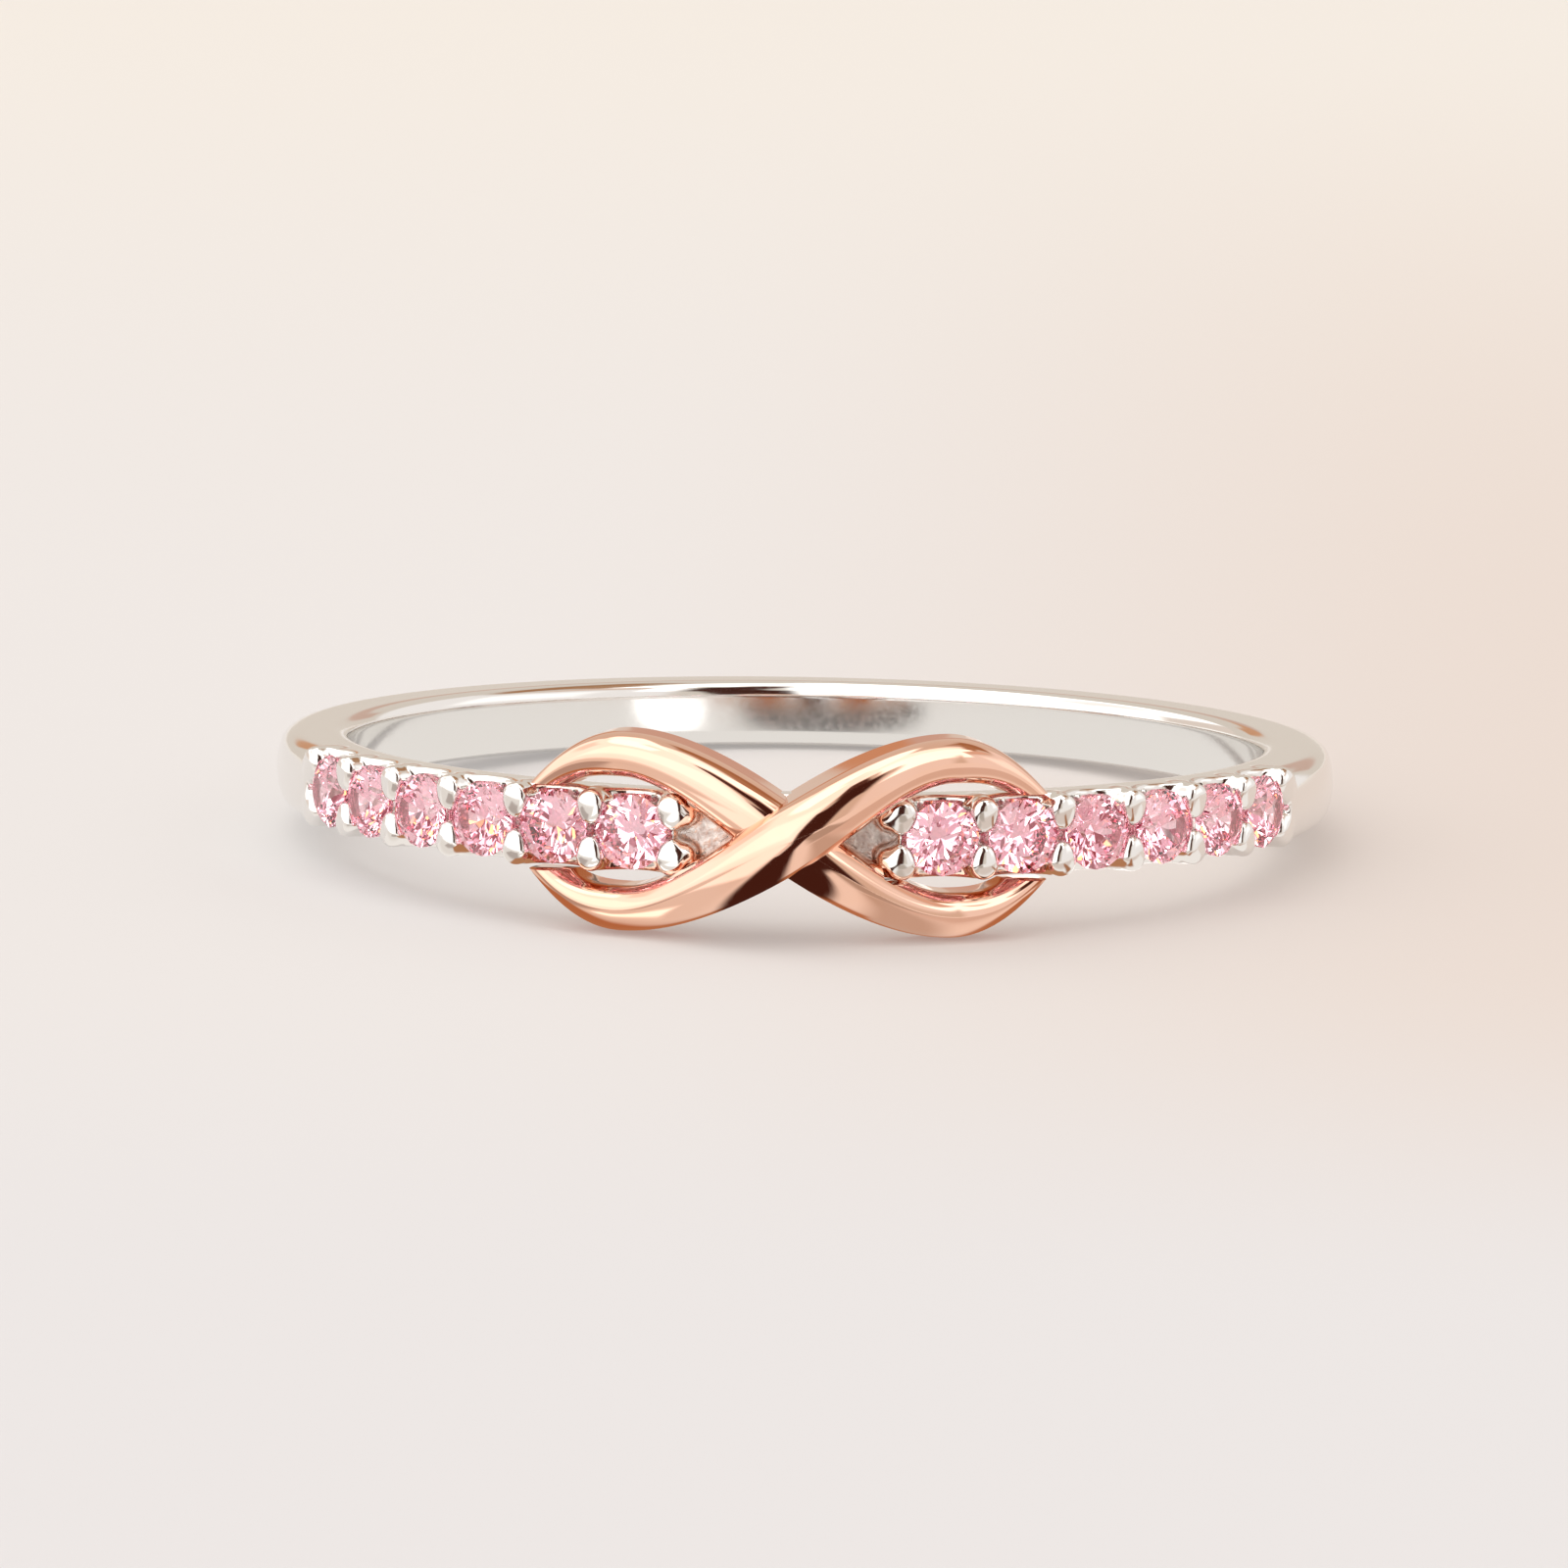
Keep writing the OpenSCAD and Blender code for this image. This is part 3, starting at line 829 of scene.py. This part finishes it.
def build_sparkle():
    """A dome of light and dark panes that only the stones show, for their play of light."""
    random = np.random.default_rng(SPARKLE_SEED)
    azimuth, elevation = np.meshgrid(np.arange(0, 361, PANE_DEG), np.arange(0, 91, PANE_DEG),
                                     indexing="ij")
    count = (azimuth.shape[0] - 1) * (azimuth.shape[1] - 1)
    panes = random.choice(len(PANES), count, p=[share for share, _ in PANES])
    glow = np.array([colour for _, colour in PANES])[np.repeat(panes, 4)]
    piece = light_card("sparkle", dome_points(azimuth, elevation, SPARKLE_R), glow, "CORNER")
    piece.visible_diffuse = piece.visible_glossy = piece.visible_shadow = False


def floor_card(name, aside, ahead, height, ground, patches):
    """A card on the floor that only the polished metal shows, from grids of millimetres."""
    points = np.stack([aside * MM, -ahead * MM, np.full(ahead.shape, height)], -1)
    card = light_card(name, points, painted(aside, ahead, ground, patches))
    card.visible_diffuse = card.visible_transmission = card.visible_shadow = False


def build_light(floor_z):
    """The dome, the cards in front of the ring and inside it, the sparkle and the sky."""
    build_dome()
    azimuth, ahead = np.meshgrid(np.radians(np.arange(-FAN_HALF_DEG, FAN_HALF_DEG + 1)),
                                 CARD_START + np.geomspace(1, CARD_DEPTH, CARD_ROWS),
                                 indexing="ij")
    aside = (ahead - FAN_START) * np.tan(azimuth)
    height = floor_z + FRONT_CARD_LIFT * MM
    floor_card("front_card", aside, ahead, height, FRONT_GROUND, FRONT)

    out, turn = np.meshgrid(np.linspace(INNER_MIDDLE_R, BORE_R, INNER_RINGS),
                            np.radians(np.arange(0, 361, INNER_TURN_DEG)), indexing="ij")
    height = floor_z + INNER_CARD_LIFT * MM
    floor_card("inner_card", out * np.sin(turn), out * np.cos(turn), height, INNER_GROUND, INNER)
    build_sparkle()

    world = bpy.data.worlds.new("studio")
    bpy.context.scene.world = world
    world.use_nodes = True
    sky = world.node_tree.nodes["Background"]
    sky.inputs["Color"].default_value = (*WORLD_COLOUR, 1)
    sky.inputs["Strength"].default_value = 1


def build_camera():
    """The camera of the photo, which leans back with the ring."""
    azimuth, elevation, roll = (math.radians(x) for x in (CAM_AZIMUTH, CAM_ELEVATION, CAM_ROLL))
    back = Vector((math.sin(azimuth) * math.cos(elevation),
                   -math.cos(azimuth) * math.cos(elevation), math.sin(elevation)))
    right = (-back).cross(Vector((0, 0, 1))).normalized()
    up = right.cross(-back)
    rolled_right = math.cos(roll) * right + math.sin(roll) * up
    rolled_up = math.cos(roll) * up - math.sin(roll) * right
    place = Matrix((rolled_right, rolled_up, back)).transposed().to_4x4()
    place.translation = back * CAM_DISTANCE * MM
    camera = bpy.data.cameras.new("camera")
    camera.sensor_width = SENSOR_MM
    camera.lens = FOCAL_PX / PHOTO_SIDE * SENSOR_MM
    camera.shift_x = -(CENTRE_X_PX - PHOTO_SIDE / 2) / PHOTO_SIDE
    camera.shift_y = (CENTRE_Y_PX - PHOTO_SIDE / 2) / PHOTO_SIDE
    camera.clip_start, camera.clip_end = CLIP_START, CLIP_END
    holder = bpy.data.objects.new("camera", camera)
    bpy.context.scene.collection.objects.link(holder)
    holder.matrix_world = Matrix.Rotation(-LEAN, 4, "X") @ place
    bpy.context.scene.camera = holder


# The whole scene

finished(build_infinity(), rose_gold())
finished(build_band(), silver())
pink = pink_stone()
for name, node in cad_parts.items():
    if name.startswith("stone_"):
        finished(node, pink)
        node.data.shade_flat()
build_floor(cad_box[0].z)
build_light(cad_box[0].z)
build_camera()
bpy.context.scene.view_settings.view_transform = "Standard"
cycles = bpy.context.scene.cycles
cycles.max_bounces = cycles.glossy_bounces = cycles.transmission_bounces = BOUNCES
